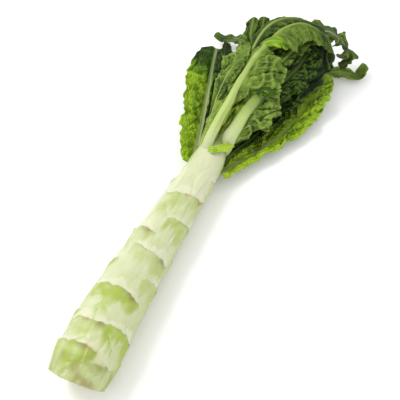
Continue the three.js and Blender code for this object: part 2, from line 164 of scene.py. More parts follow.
# Every leaf by the name of its CAD node. Its lists run from its base to its tip. midrib has the points
# that it runs through, left and right are the half-widths of its blade, shows and hides are the palettes of
# the side that shows and the other one, and slot is its material. LEAF_DEFAULTS says what the rest are.
LEAVES = {
    "under_leaf_left": {
        **UNDER_LEAF,
        "midrib": [(-8, 286, 7), (-20, 330, 7), (-34, 372, 8), (-42, 410, 9), (-44, 445, 8)],
        "left": [3, 14, 26, 24, 8], "right": [3, 11, 18, 18, 8],
    },
    "under_leaf_right": {
        **UNDER_LEAF,
        "midrib": [(8, 286, 7), (22, 330, 7), (34, 372, 5), (38, 410, 5), (36, 445, 7)],
        "left": [3, 11, 18, 18, 8], "right": [3, 11, 18, 18, 8],
    },
    "left_outer_leaf": {
        **OUTER_LEAF,
        "midrib": [(-13, 284, 16), (-22, 308, 19), (-30, 336, 20), (-38, 361, 22), (-46, 388, 25),
                   (-54, 414, 28), (-60, 436, 28)],
        "face": [(0.5, 0, 1), (0.3, 0, 1)], "left": [16, 22, 24, 25, 25, 22, 12],
        "right": [5, 9, 13, 15, 15, 12, 6], "fold": [25, 20], "curl_left": [-30, -30], "sink": -2,
        "drape": (0.15, -40), "ruffle": 16, "wave": 40, "ragged": 0.1, "rib": (4.6, 1.8, 2.4),
        "blister": 1.1, "crumple": 2.2, "crease": 1.5, "flutes": (11, 0.8),
        "light": 0.12, "mottle": 0.5, "cavity": 0.2, "dark_tip": 1.6, "rib_fade": 0.35,
    },
    "right_outer_leaf": {
        **OUTER_LEAF,
        "midrib": [(14, 286, 15), (33, 327, 12), (47, 356, 10), (58, 391, 11), (62, 432, 13),
                   (67, 465, 17)],
        "face": [(-0.3, 0.2, 1)], "left": [12, 16, 19, 21, 18, 8], "right": [10, 11, 13, 18, 19, 9],
        "fold": [10, 10], "curl_right": [-40, -40], "grow": 1.12, "sink": -3, "ruffle": 36, "wave": 34,
        "ragged": 0.15, "rib": (2.6, 0.6, 1.2), "blister": 2.4, "crumple": 3.6, "crease": 2,
        "light": 0.44, "mottle": 0.8, "cavity": 0.9, "bright_base": 0.9, "rib_fade": 0.9,
    },
    "right_finger_leaf": {
        **FINGER_LEAF,
        "midrib": [(10, 312, 20), (28, 370, 19), (42, 420, 20), (58, 462, 13), (75, 482, 8),
                   (94, 487, 6), (100, 499, 16)],
        "left": [4, 5, 7, 6, 5, 4.5, 4], "right": [4, 5, 7, 6, 5, 4.5, 4], "grow": 1.15, "wave": 16,
        "rib": (1.6, 0.6, 1.4), "crumple": 1.8,
        "light": 0.15, "rib_fade": 0.9,
    },
    "back_left_leaf": {
        **DARK_LEAF,
        "midrib": [(-12, 294, 30), (-24, 345, 28), (-36, 389, 30), (-44, 421, 34), (-53, 447, 32)],
        "face": [(0.7, 0, 0.7)], "left": [2, 4, 5, 6, 3], "right": [5, 16, 22, 18, 5], "grow": 1.5,
        "ruffle": 60,
        "hides": "underside", "light": -0.2,
    },
    "right_inner_leaf": {
        **DARK_LEAF,
        "midrib": [(13, 296, 27), (30, 339, 27), (42, 372, 29), (49, 403, 33), (52, 435, 33)],
        "face": [(-0.6, 0, 0.8)], "left": [4, 11, 15, 14, 6], "right": [3, 5, 7, 8, 5], "grow": 1.6,
        "ruffle": 60, "torn": 0.15,
        "hides": "dark", "light": -0.4, "cavity": 1,
    },
    "vertical_dark_leaf": {
        **DARK_LEAF,
        "midrib": [(9, 316, 34), (29, 370, 34), (44, 405, 37), (54, 434, 41), (60, 450, 50),
                   (58, 462, 60), (50, 469, 66)],
        "face": [(0.5, -0.3, 1)], "left": [4, 5, 7, 10, 11, 10, 4], "right": [4, 5, 7, 8, 7, 6, 3],
        "grow": 1.8, "drape": (0.3, 40), "ruffle": 70,
        "hides": "smooth", "light": -0.25, "cavity": 1, "margin": 0.8, "rib_fade": 1,
    },
    "left_finger_leaf": {
        **FINGER_LEAF,
        "midrib": [(-2, 340, 38), (-10, 395, 40), (-16, 436, 38), (-34, 458, 30), (-52, 465, 20),
                   (-66, 465, 14), (-76, 467, 14)],
        "left": [4, 5, 7, 7, 6, 4.5, 3.5], "right": [4, 5, 7, 7, 6, 4.5, 3.5], "grow": 0.95, "wave": 14,
        "rib": (1.4, 0.5, 1.2), "crumple": 1.6,
        "light": -0.15, "rib_fade": 1,
    },
    "upright_leaf_1": {
        **UPRIGHT_LEAF,
        "midrib": [(3, 362, 41), (1, 395, 46), (-5, 418, 55), (-12, 428, 66), (-18, 436, 76),
                   (-22, 452, 84)],
        "left": [3, 4, 5, 6, 6, 3], "right": [3, 4, 5, 6, 6, 4], "rib": (2.4, 1, 1.8),
    },
    "upright_leaf_2": {
        **UPRIGHT_LEAF,
        "midrib": [(3, 375, 41), (3, 405, 47), (0, 425, 57), (-4, 437, 69), (-9, 447, 78),
                   (-11, 456, 86)],
        "left": [3, 4, 5, 8, 8, 3], "right": [3, 4, 5, 8, 8, 3], "rib": (2.4, 0.8, 1.5),
    },
    "inner_folds_leaf": {
        **DARK_LEAF,
        "midrib": [(6, 335, 34), (16, 362, 39), (24, 382, 43), (34, 405, 50), (43, 429, 57),
                   (47, 458, 61)],
        "face": [(0.2, -0.2, 1)], "left": [4, 6, 12, 22, 26, 16], "right": [4, 6, 10, 14, 16, 12],
        "drape": (0.4, 60), "ruffle": 70, "wave": 24, "rib": (2.4, 0.8, 1.5), "crumple": 3,
        "hides": "smooth", "light": -0.08, "cavity": 1.6, "margin": 1,
    },
    "right_mid_leaf": {
        **PETIOLE_LEAF,
        "midrib": [(8, 301, 38), (14, 326, 48), (17, 345, 56), (22, 368, 62), (29, 397, 65)],
        "face": [(0.2, -0.3, 1)], "left": [5, 7, 9, 10, 8], "right": [5, 14, 26, 30, 20],
        "fold": [-14, -8], "curl_right": [-10, -20], "drape": (0.45, 80), "ruffle": 34, "wave": 26,
        "rib": (8, 4.6, 4.5), "blister": 1.3, "crumple": 2.6,
        "light": -0.12, "rib_fade": 1,
    },
    "inner_dark_leaf": {
        "midrib": [(1, 300, 38), (4, 330, 47), (10, 357, 57), (14, 369, 65), (24, 376, 68),
                   (39, 379, 69)],
        "left": [4, 7, 8, 8, 8, 4], "right": [4, 6, 6, 6, 7, 4], "grow": 1.1, "drape": (0.2, 60),
        "ruffle": 90, "wave": 18, "torn": 0.3, "rib": (0.6, 0.4, 0.3), "crumple": 4, "crease": 4,
        "shows": "mottled", "hides": "dark", "slot": "leaf_dark", "light": -0.15, "mottle": 0.6,
        "cavity": 1.2, "margin": 0.3, "dark_tip": 0.6, "rib_fade": 1,
    },
    "far_droop_leaf": {
        "midrib": [(6, 365, 42), (17, 398, 58), (30, 428, 70), (43, 460, 77), (56, 480, 70),
                   (70, 488, 54), (80, 488, 38), (81, 483, 30), (74, 477, 25)],
        "face": [(0, 0.3, 1)], "left": [4, 4, 5, 9, 10, 10, 8, 6, 3],
        "right": [4, 4, 5, 7, 9, 9, 8, 6, 3], "grow": 1.4, "drape": (0.4, 60), "ruffle": 80, "wave": 20,
        "ragged": 0.9, "torn": 0.25, "rib": (2, 0.8, 1.3),
        "shows": "smooth", "hides": "smooth", "slot": "leaf_dark", "light": -0.25, "rib_fade": 0.9,
    },
    "arch_leaf_1": {
        **ARCH_LEAF,
        "midrib": [(-1, 338, 40), (-6, 372, 52), (-7, 395, 64), (-6, 416, 78), (-1, 439, 90),
                   (11, 455, 94), (27, 465, 91), (44, 472, 83), (53, 477, 76)],
        "left": [4, 4, 4, 6, 6, 6, 5, 4, 2], "right": [4, 4, 4, 8, 12, 14, 12, 8, 4],
        "curl_left": [-10, -60], "curl_right": [-10, -60], "drape": (0.7, 50), "rib": (1.7, 0.8, 1.4),
        "crease": 0.8,
        "light": -0.35, "margin": 1.0, "rib_fade": 0.8,
    },
    "arch_leaf_2": {
        **ARCH_LEAF,
        "midrib": [(6, 372, 40), (7, 400, 50), (6, 411, 65), (7, 424, 80), (16, 440, 93), (32, 453, 98),
                   (48, 458, 93), (63, 461, 79), (71, 460, 64)],
        "left": [2, 2, 2, 3, 6, 6, 6, 6, 3], "right": [2, 2, 2, 8, 24, 24, 14, 9, 3],
        "curl_left": [-10, -50], "curl_right": [-10, -80], "drape": (0.35, 40), "ragged": 0.4,
        "rib": (2.2, 1.6, 2.2), "crease": 0.6,
        "light": 0.12, "margin": 0.6, "dark_tip": 0.5, "rib_fade": 0.9,
    },
    "main_leaf": {
        **PETIOLE_LEAF,
        "midrib": [(-6, 284, 40), (-4, 322, 57), (-2, 345, 65), (-1, 366, 73), (1, 388, 79),
                   (3, 404, 83), (7, 420, 85)],
        "face": [(-0.2, -0.2, 1)], "left": [5, 18, 25, 27, 24, 18, 8],
        "right": [4, 5, 5, 15, 32, 32, 16], "fold": [-18, -10], "curl_left": [-30, -40],
        "curl_right": [-30, -20], "drape": (0.45, 70), "ruffle": 46, "wave": 30, "rib": (5.4, 2.6, 4.5),
        "blister": 1.2, "crumple": 3.2, "crease": 3.0,
        "light": 0.06, "cavity": 0.5, "margin": 0.8,
    },
    "overlap_leaf": {
        "midrib": [(-13, 290, 34), (-16, 324, 43), (-19, 349, 55), (-17, 371, 73), (-13, 395, 80),
                   (-15, 422, 77)],
        "face": [(-0.2, -0.2, 1)], "left": [2, 2, 3, 11, 16, 6], "right": [2, 2, 3, 8, 8, 3],
        "drape": (0.3, 50), "rib": (0.5, 0.3, 0.4), "blister": 1.8, "crumple": 3, "crease": 1.6,
        "under": True, "shows": "underside", "hides": "dark", "slot": "leaf_underside", "light": -0.12,
        "mottle": 0.6, "rib_fade": 1,
    },
    "bright_fold_leaf": {
        **BRIGHT_LEAF,
        "midrib": [(4, 378, 40), (4, 400, 55), (3, 412, 70), (3, 419, 82), (7, 422, 88), (15, 425, 91),
                   (24, 427, 91), (32, 428, 88)],
        "face": [(0, -0.3, 1)], "left": [2, 2, 2, 4, 6, 6, 6, 5], "right": [2, 2, 2, 4, 6, 6, 6, 5],
        "curl_left": [-20, -110], "curl_right": [-20, -110], "ruffle": 60, "wave": 13, "torn": 0.2,
        "rib": (0.6, 0.4, 0.3), "blister": 1.2,
        "light": -0.1, "rib_fade": 1,
    },
    "crown_leaflet": {
        **BRIGHT_LEAF,
        "midrib": [(-1, 294, 46), (5, 294, 48), (11, 298, 47), (16, 305, 43), (19, 314, 38)],
        "face": [(0.2, -0.3, 1)], "left": [3, 4, 5, 4, 3], "right": [3, 4, 4, 4, 3], "sink": 1,
        "ruffle": 110, "wave": 6, "ragged": 0.4, "torn": 0.7, "rib": (0.4, 0.3, 0.2), "blister": 1.5,
        "crease": 3,
        "light": 0.22, "mottle": 0.6, "cavity": 0.3,
    },
}


# How a leaf is shaped and painted where its own entry doesn't say, with angles in degrees
LEAF_DEFAULTS = {
    "face": [(0, 0, 1)],  # where the side that shows faces
    "under": False,  # whether that side is the underside, where the midrib stands out
    "fold": [0],  # how steeply both halves rise from the midrib
    "curl_left": [0],  # how much steeper the left half is at its margin
    "curl_right": [0],  # the same on the right
    "grow": 1.0,  # what all its half-widths are multiplied by
    "sink": 5,  # how far its base is moved back from the side that shows
    "drape": (0, 0),  # by what share the blade is wider, and how steeply the added margin hangs
    "ruffle": 45,  # how steeply the margin waves up and down
    "wave": 27,  # the length of those waves
    "ragged": 0.25,  # how uneven the margin is near the tip, as a share of the width
    "torn": 0,  # the same all along the leaf
    "rib": (3, 0.8, 2.2),  # the midrib's half-width at its base and at its tip, and its height
    "veins": 11,  # the distance between side veins
    "blister": 2.3,  # how far the blade swells between its veins
    "crumple": 2.8,  # how deep its slow bends are
    "crease": 2.4,  # how far its sharp creases stand out
    "flutes": (10, 0),  # the length and the depth of folds across it
    "thickness": 0.7,  # of the blade
    "light": 0,  # painted light and shade: how much lighter its paint is, or darker where negative, for how it lies in light or in the head's shade
    "mottle": 0.4,  # how much its paint varies from cloud to cloud
    "cavity": 0.7,  # how much painted shade darkens its hollows and painted light lightens its tops
    "margin": 0.35,  # how much lighter its margins are: partly their own paler colour, partly painted highlight
    "dark_tip": 0,  # how much darker its far end is
    "bright_base": 0.3,  # how much lighter its base is
    "rib_fade": 0.5,  # how much of the midrib's pale colour is lost towards the tip
}

# A leaf whose half-width stays under NARROW is smoother. Where it starts, a midrib wider than WIDE_RIB is
# as pale as the stem.
NARROW = 12
SMOOTH_BLISTER = 0.5
SMOOTH_CRUMPLE = 1.0
WIDE_RIB = 4

# The angle between the side veins and the midrib, the size of the blisters, and the depth at which a
# hollow's painted shade is darkest
VEIN_ANGLE = 48
BLISTER_LENGTH = 7
BLISTER_WIDTH = 6
FULL_HOLLOW = 1.2

# How pale the veins are on a leaf whose underside shows and on the others
UNDER_VEIN_TINT = 0.36
UPPER_VEIN_TINT = 0.25

# The longest share of a leaf that its rounded tip takes, and the least half-width of a blade
TIP_SHARE = 0.35
LEAST_WIDTH = 0.3

# How near a leaf comes to the floor, the seed of the first leaf's noise, and the step to the next leaf's
FLOOR_GAP = 0.15
FIRST_SEED = 40
SEED_STEP = 17


# Numbers that repeat from run to run

def random_at(x, y, seed):
    """A number from 0 to 1 for each whole-numbered place."""
    mixed = x.astype(np.int64) * 374761393 + y.astype(np.int64) * 668265263 + seed * 1274126177
    mixed = (mixed ^ (mixed >> 13)) * 1274126177 & 0x7FFFFFFF
    mixed = (mixed ^ (mixed >> 16)) * 668265263 & 0x7FFFFFFF
    return ((mixed ^ (mixed >> 15)) & 0xFFFF) / 0xFFFF


def noise(x, y, seed):
    """Smooth noise from -1 to 1 with features one unit across."""
    left, low = np.floor(x), np.floor(y)
    across, up = smooth(x - left), smooth(y - low)
    bottom = blend(random_at(left, low, seed), random_at(left + 1, low, seed), across)
    top = blend(random_at(left, low + 1, seed), random_at(left + 1, low + 1, seed), across)
    return 2 * blend(bottom, top, up) - 1


def rough_noise(x, y, seed, octaves=3):
    """Noise with finer and finer features on top of one another, from -1 to 1."""
    total = sum(noise(x * 2 ** k, y * 2 ** k, seed + k) / 2 ** k for k in range(octaves))
    return total / (2 - 0.5 ** (octaves - 1))


def cells(x, y, seed):
    """How far each point is inside its cell, from 0 on the cell's rim, and a number for the cell."""
    nearest = np.full(np.shape(x), np.inf)
    second = nearest.copy()
    number = np.zeros(np.shape(x))
    left, low = np.floor(x), np.floor(y)
    for i in (-1, 0, 1):
        for j in (-1, 0, 1):
            at_x, at_y = left + i, low + j
            px = at_x + random_at(at_x, at_y, seed)
            py = at_y + random_at(at_x, at_y, seed + 7)
            far = np.hypot(px - x, py - y)
            closer = far < nearest
            second = np.where(closer, nearest, np.minimum(second, far))
            number = np.where(closer, random_at(at_x, at_y, seed + 13), number)
            nearest = np.where(closer, far, nearest)
    return second - nearest, number


def smooth(share):
    """A share from 0 to 1 that leaves 0 and reaches 1 gently."""
    share = np.clip(share, 0, 1)
    return share * share * (3 - 2 * share)


def ramp(value, low, high):
    """From 0 where the value is low to 1 where it is high."""
    return smooth((value - low) / (high - low))


def blend(a, b, share):
    """From a where the share is 0 to b where it is 1."""
    return a + (b - a) * share


def tint(colour, other, share):
    """One colour mixed into an array of colours."""
    return blend(colour, other, np.clip(share, 0, 1)[..., None])


def linear(code):
    """A screen colour as the three numbers that a shader takes."""
    values = np.array([int(code[i:i + 2], 16) / 255 for i in (1, 3, 5)])
    return np.where(values > 0.04045, ((values + 0.055) / 1.055) ** 2.4, values / 12.92)


def unit(vectors):
    """The same directions with a length of 1."""
    return vectors / np.linalg.norm(vectors, axis=-1, keepdims=True)


def follow(values, share):
    """A list of numbers or points followed smoothly from its first value at 0 to its last at 1."""
    values = np.asarray(values, float)
    if len(values) == 1:
        return np.repeat(values, len(share), axis=0)
    flat = values.reshape(len(values), -1)
    padded = np.vstack([2 * flat[:1] - flat[1:2], flat, 2 * flat[-1:] - flat[-2:-1]])
    spot = share * (len(flat) - 1)
    index = np.minimum(spot.astype(int), len(flat) - 2)
    w = (spot - index)[:, None]
    a, b, c, d = (padded[index + k] for k in range(4))
    square, cube = 2 * a - 5 * b + 4 * c - d, 3 * b - a - 3 * c + d
    found = 0.5 * (2 * b + (c - a) * w + square * w ** 2 + cube * w ** 3)
    return found.reshape((len(share),) + values.shape[1:])


# Meshes

def find_origin():
    """Where the construction frame's origin is in the row frame, from the tip of the CAD stem's shoot."""
    points = np.array([vertex.co for vertex in bpy.data.objects["stem"].data.vertices])
    tip = points[points[:, 1] > points[:, 1].max() - 0.1 * MM].mean(axis=0)
    return tip - np.array(SHOOT_TIP) * MM


ORIGIN = find_origin()


def place(points):
    """Points of the construction frame, in millimetres, as points of the row frame, in metres."""
    return np.asarray(points) * MM + ORIGIN


def grid_faces(index):
    """Quads over a grid of vertex numbers, rows by columns."""
    corners = (index[:-1, :-1], index[:-1, 1:], index[1:, 1:], index[1:, :-1])
    return np.stack(corners, axis=-1).reshape(-1, 4)


def make_piece(name, node, points, faces, colours, material):
    """A smooth painted mesh that replaces one CAD node."""
    mesh = bpy.data.meshes.new(name)
    mesh.from_pydata(place(points).tolist(), [], faces)
    mesh.polygons.foreach_set("use_smooth", [True] * len(mesh.polygons))
    layer = mesh.color_attributes.new("paint", "FLOAT_COLOR", "POINT")
    layer.data.foreach_set("color", np.asarray(colours, np.float32).ravel())
    mesh.materials.append(material)
    mesh.update()
    piece = bpy.data.objects.new(name, mesh)
    bpy.context.scene.collection.objects.link(piece)
    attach(piece, "root")
    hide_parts(node)
    return piece


# Materials

def new_tree(name):
    """A material with one shader, its node tree and that shader."""
    material = bpy.data.materials.new(name)
    material.use_nodes = True
    tree = material.node_tree
    tree.nodes.clear()
    output = tree.nodes.new("ShaderNodeOutputMaterial")
    shader = tree.nodes.new("ShaderNodeBsdfPrincipled")
    tree.links.new(shader.outputs["BSDF"], output.inputs["Surface"])
    return material, tree, shader


def node(tree, kind, values=(), **settings):
    """A shader node with its settings and the values of its sockets."""
    made = tree.nodes.new("ShaderNode" + kind)
    for key, value in settings.items():
        setattr(made, key, value)
    for key, value in dict(values).items():
        made.inputs[key].default_value = value
    return made


def math_node(tree, operation, first, second, clamp=False):
    """The result of one operation on two sockets or numbers."""
    made = node(tree, "Math", operation=operation, use_clamp=clamp)
    for socket, value in zip(made.inputs, (first, second)):
        if isinstance(value, (int, float)):
            socket.default_value = value
        else:
            tree.links.new(value, socket)
    return made.outputs["Value"]


def mixture(tree, first, second, share):
    """A share of the first value and the rest of the second."""
    return math_node(tree, "ADD", math_node(tree, "MULTIPLY", first, share),
                     math_node(tree, "MULTIPLY", second, 1 - share))


def spread(tree, value, low, high):
    """A value from 0 to 1 moved to a range."""
    made = node(tree, "MapRange", {"To Min": low, "To Max": high})
    tree.links.new(value, made.inputs["Value"])
    return made.outputs["Result"]


def painted_colour(tree, paint, grain, low, high):
    """The painted colour, darkened and lightened by a grain."""
    shade = spread(tree, grain, low, high)
    made = node(tree, "VectorMath", operation="SCALE")
    tree.links.new(paint.outputs["Color"], made.inputs[0])
    tree.links.new(shade, made.inputs["Scale"])
    return made.outputs["Vector"]


def leaf_material(name, roughness, network_depth):
    """Paint from the mesh, a fine network of veins in relief, and a waxy skin that varies in gloss."""
    material, tree, shader = new_tree(name)
    paint = node(tree, "Attribute", attribute_name="paint")
    place_in_piece = node(tree, "TexCoord").outputs["Object"]
    mottle = node(tree, "TexNoise", {"Scale": 260, "Detail": 4, "Roughness": 0.6})
    grain = node(tree, "TexNoise", {"Scale": 1400, "Detail": 2})
    network = node(tree, "TexVoronoi", {"Scale": 300}, feature="DISTANCE_TO_EDGE")
    for texture in (mottle, grain, network):
        tree.links.new(place_in_piece, texture.inputs["Vector"])
    cell = math_node(tree, "MULTIPLY", network.outputs["Distance"], 2.2, clamp=True)
    tone = mixture(tree, mottle.outputs["Fac"], grain.outputs["Fac"], 0.8)
    uneven = math_node(tree, "MULTIPLY", math_node(tree, "SUBTRACT", tone, 0.5), paint.outputs["Alpha"])
    even = math_node(tree, "ADD", uneven, 0.5)
    tree.links.new(painted_colour(tree, paint, even, *LEAF_SHADES), shader.inputs["Base Color"])
    gloss = spread(tree, mottle.outputs["Fac"], roughness - ROUGHNESS_SPREAD, roughness + ROUGHNESS_SPREAD)
    tree.links.new(gloss, shader.inputs["Roughness"])
    relief = math_node(tree, "MULTIPLY", cell, paint.outputs["Alpha"])
    height = math_node(tree, "ADD", relief, math_node(tree, "MULTIPLY", grain.outputs["Fac"], 0.25))
    bump = node(tree, "Bump", {"Strength": 1.0, "Distance": network_depth * MM})
    tree.links.new(height, bump.inputs["Height"])
    tree.links.new(bump.outputs["Normal"], shader.inputs["Normal"])
    shader.inputs["Specular IOR Level"].default_value = 0.17
    shader.inputs["Subsurface Weight"].default_value = 0.12
    shader.inputs["Subsurface Radius"].default_value = (0.6, 1.0, 0.2)
    shader.inputs["Subsurface Scale"].default_value = 0.8 * MM
    return material


def stem_material():
    """Wet peeled flesh: paint from the mesh, long faint fibres and a slightly uneven gloss."""
    material, tree, shader = new_tree("stem_flesh")
    paint = node(tree, "Attribute", attribute_name="paint")
    place_in_piece = node(tree, "TexCoord").outputs["Object"]
    along = node(tree, "Mapping", {"Scale": (1, 0.12, 1)})
    tree.links.new(place_in_piece, along.inputs["Vector"])
    fibres = node(tree, "TexNoise", {"Scale": 700, "Detail": 3, "Roughness": 0.55})
    tree.links.new(along.outputs["Vector"], fibres.inputs["Vector"])
    clouds = node(tree, "TexNoise", {"Scale": 90, "Detail": 4, "Roughness": 0.55})
    pores = node(tree, "TexNoise", {"Scale": 1300, "Detail": 2})
    for texture in (clouds, pores):
        tree.links.new(place_in_piece, texture.inputs["Vector"])
    tone = mixture(tree, fibres.outputs["Fac"], clouds.outputs["Fac"], 0.5)
    tree.links.new(painted_colour(tree, paint, tone, *STEM_SHADES), shader.inputs["Base Color"])
    tree.links.new(spread(tree, clouds.outputs["Fac"], *STEM_ROUGHNESS), shader.inputs["Roughness"])
    pore_depth = math_node(tree, "MULTIPLY", pores.outputs["Fac"], 0.5)
    height = math_node(tree, "ADD", fibres.outputs["Fac"], pore_depth)
    bump = node(tree, "Bump", {"Strength": 0.35, "Distance": STEM_FIBRES * MM})
    tree.links.new(height, bump.inputs["Height"])
    tree.links.new(bump.outputs["Normal"], shader.inputs["Normal"])
    shader.inputs["Specular IOR Level"].default_value = 0.5
    shader.inputs["Subsurface Weight"].default_value = 0.25
    shader.inputs["Subsurface Radius"].default_value = (1.0, 1.0, 0.4)
    shader.inputs["Subsurface Scale"].default_value = 2.5 * MM
    shader.inputs["Coat Weight"].default_value = 0.12
    shader.inputs["Coat Roughness"].default_value = 0.2
    return material


# The stem

def station_curves():
    """Every millimetre along the stem, and its radius, bow, height and slant there, with eased corners."""
    stations = np.array(STEM_STATIONS, float)
    every = np.arange(stations[0, 0], stations[-1, 0] + 1)
    reach = np.arange(-2 * STATION_BLEND, 2 * STATION_BLEND + 1)
    weights = np.exp(-0.5 * (reach / STATION_BLEND) ** 2)
    weights /= weights.sum()
    curves = []
    for column in range(1, stations.shape[1]):
        plain = np.interp(every, stations[:, 0], stations[:, column])
        padded = np.pad(plain, 2 * STATION_BLEND, mode="reflect", reflect_type="odd")
        curves.append(np.convolve(padded, weights, mode="valid"))
    return every, curves


def scar_distances(y, angle):
    """For each scar: how far each point is on its base side, how far it is inside the span, from 0 at the
    ends to 1 in the middle, where along the span it is, from -1 to 1, and the scar's patch and lens."""
    for at, centre, span, rise, sag, *look in SCARS:
        turn = (angle - centre + 180) % 360 - 180
        share = turn / span
        jag = 1.6 * noise(angle / 11, angle * 0 + at, 31) + 0.6 * noise(angle / 3.5, angle * 0 + at, 32)
        line = at + rise * share - sag * (1 - share ** 2) + jag
        inside = np.sqrt(np.clip(1 - share ** 2, 0, 1))
        yield line - y, inside, share, look


def scar_height(y, angle):
    """How far the flesh stands out behind each scar's lip."""
    height = np.zeros(np.shape(y))
    for behind, inside, _, _ in scar_distances(y, angle):
        rise = ramp(behind, -SCAR_LIP / 2, SCAR_LIP / 2) * (1 - np.clip(behind, 0, SCAR_RUN) / SCAR_RUN)
        uneven = 0.8 + 0.5 * noise(angle / 17, y / 30, 33)
        height = np.maximum(height, SCAR_STEP * uneven * inside ** 0.7 * rise)
    return height


def peel_facets(y, around):
    """How far each point is inside its peeled strip, from 0 on the rim, and a number for the strip."""
    drift = 0.3 * noise(y / 40, around / 20, 4)
    return cells(around / FACET_WIDTH + drift, y / FACET_LENGTH, 5)


def paint_scar(colour, y, angle, scar, patterns):
    """A scar's pale lens, rind patch, thin line, tan spots and olive bud mark."""
    behind, inside, share, (patch, green, lens) = scar
    facet, cloud, speckle, blotch = patterns
    ahead = -behind
    torn = 1 + 0.45 * noise(share * 3, share * 0 + patch, 9) + 0.2 * noise(share * 9, share * 0 + lens, 10)
    lens_depth = lens * inside * torn
    pale = ramp(ahead, -0.3, 0.6) * (1 - ramp(ahead, lens_depth - 3, lens_depth)) * (inside > 0)
    colour = tint(colour, linear(STEM_CREAM), 0.8 * pale)
    patch_depth = patch * inside ** 0.5 * torn * (0.5 + facet)
    fading = 1 - ramp(behind, 0.45 * patch_depth, patch_depth)
    rind = ramp(behind, -0.6, 0.4) * fading * ramp(inside, 0, 0.6)
    shade = blend(linear(STEM_GREEN), linear(RIND_GREEN), green)
    uneven = 0.85 + 0.3 * facet + 0.7 * cloud + 0.5 * blotch
    colour = tint(colour, shade, rind * (0.3 + 0.7 * green) * uneven)
    worn = 0.35 + 0.65 * ramp(noise(angle / 13, angle * 0 + lens, 16), -0.5, 0.2)
    thin = np.exp(-((behind - 0.2) / 0.9) ** 2) * ramp(inside, 0, 0.4) * worn
    colour = tint(colour, linear(SCAR_LINE), thin * (0.6 + 0.6 * speckle))
    here = ramp(noise(angle / 12, y * 0 + patch + lens, 11), 0.45, 0.8)
    spot = np.exp(-((behind - 0.5) / 2) ** 2) * here
    colour = tint(colour, linear(SCAR_TAN), 0.8 * spot * (inside > 0))
    at_bud = np.exp(-((share - BUD_SHARE) / 0.22) ** 2 - ((behind - 2) / 4) ** 2) * ramp(behind, -0.6, 0.4)
    return tint(colour, linear(RIND_OLIVE), at_bud * (0.75 + 0.5 * blotch + 0.3 * speckle))


def paint_base_end(colour, y, around, cloud):
    """The rind that is left at the base, with a brown rim at the cut."""
    streak = 0.4 * rough_noise(around / 3, y / 22, 12) + 0.6 * rough_noise(around / 8, y / 8, 13)
    rind_end = ramp(RIND_LENGTH + 10 * streak - y, -6, 12)
    colour = tint(colour, linear(RIND_GREEN), 0.45 * rind_end)
    colour = tint(colour, linear(RIND_OLIVE), rind_end * (0.2 + 0.5 * streak + 0.4 * cloud))
    return tint(colour, linear(CUT_BROWN), ramp(4 - y, -4, 4) * ramp(streak, 0, 0.5) * 0.4)


def paint_stem(y, angle, around):
    """Colour of the peeled flesh with painted shade on its flanks and painted highlight on pale strips, its
    scars, its rind end and the green shoot.
    """
    rim, facet = peel_facets(y, around)
    lower = ramp(GREENER_PART - y, 0, 200)
    cloud = rough_noise(around / 14, y / 18, 7)
    speckle = rough_noise(around / 3, y / 3, 8)
    blotch = rough_noise(around / 8, y / 7, 15)
    # Greener towards the flanks and the underside: partly rind that peeling left there, partly painted
    # shade along the stem's sides
    side = ramp(np.abs((angle - 80 + 180) % 360 - 180), 45, 95)
    colour = np.broadcast_to(linear(STEM_PALE), y.shape + (3,))
    green = 0.1 + 0.45 * lower * (0.4 + 0.6 * facet) + 0.4 * cloud + 0.75 * side
    colour = tint(colour, linear(STEM_GREEN), green)
    # Paler cream on some peeled strips: partly their own colour, partly painted highlight like a wet sheen
    # on their flat faces
    pale_facet_and_sheen = ramp(facet, 0.5, 0.75) * ramp(rim, 0, 0.1)
    colour = tint(colour, linear(STEM_CREAM), 0.55 * pale_facet_and_sheen)
    for scar in scar_distances(y, angle):
        colour = paint_scar(colour, y, angle, scar, (facet, cloud, speckle, blotch))
    colour = paint_base_end(colour, y, around, cloud)
    return tint(colour, linear(PALETTES["smooth"][2]), ramp(y, CROWN - 8, CROWN + 10))


def stem_wall():
    """The points and colours of the stem and its shoot, ring by ring from the cut base."""
    every, curves = station_curves()
    rings = np.arange(0, every[-1] + STEM_SPACING / 2, STEM_SPACING)
    radius, bow, lift, slant = (np.interp(rings, every, curve)[:, None] for curve in curves)
    degrees = np.arange(STEM_SIDES)[None, :] * 360 / STEM_SIDES
    angle = np.radians(degrees)
    y = rings[:, None] - slant * STEM_CUT_SLOPE * radius * np.sin(angle)
    degrees = np.broadcast_to(degrees, y.shape)
    around = np.radians(degrees) * MEAN_RADIUS
    rim, facet = peel_facets(y, around)
    bumps = 0.9 * facet * ramp(rim, 0, 0.35) + 0.6 * noise(around / 10, y / 24, 6)
    reach = radius + scar_height(y, degrees) + bumps * ramp(CROWN - y, 0, 30)
    across, up = reach * np.cos(angle), reach * np.sin(angle)
    along = rings[:, None] - slant * STEM_CUT_SLOPE * up
    points = np.stack([bow + across, along, np.maximum(lift + up, 0)], axis=-1)
    return points, paint_stem(y, degrees, around)


def cut_face(rim):
    """The points and colours of the cut face, from the stem's first ring in towards its middle."""
    shares = np.linspace(1, 0, CUT_RINGS)[1:-1, None]
    angle = np.radians(np.arange(STEM_SIDES)[None, :] * 360 / STEM_SIDES)
    middle = rim.mean(axis=0)
    fibres = rough_noise(np.cos(angle) * shares * 14 + 3, np.sin(angle) * shares * 14 + 3, 14)
    face = middle + (rim - middle) * shares[..., None]
    face[..., 1] += 0.5 * fibres - 1.2 * ramp(shares, 0.8, 1) * ramp(1 - shares, 0, 0.1)
    ring_mark = np.exp(-((shares - CUT_RING_MARK) / 0.05) ** 2)
    colour = tint(np.broadcast_to(linear(CUT_PITH), face.shape), linear(CUT_FIBRE), 0.4 + 0.5 * fibres)
    colour = tint(colour, linear(CUT_BROWN), 0.4 * ring_mark * (0.6 + fibres))
    colour = tint(colour, linear(RIND_OLIVE), ramp(shares, 0.93, 0.99) * np.ones_like(fibres) * 0.8)
    return face, tint(colour, linear(CUT_BROWN), 0.12 * ramp(fibres, 0.25, 0.8))


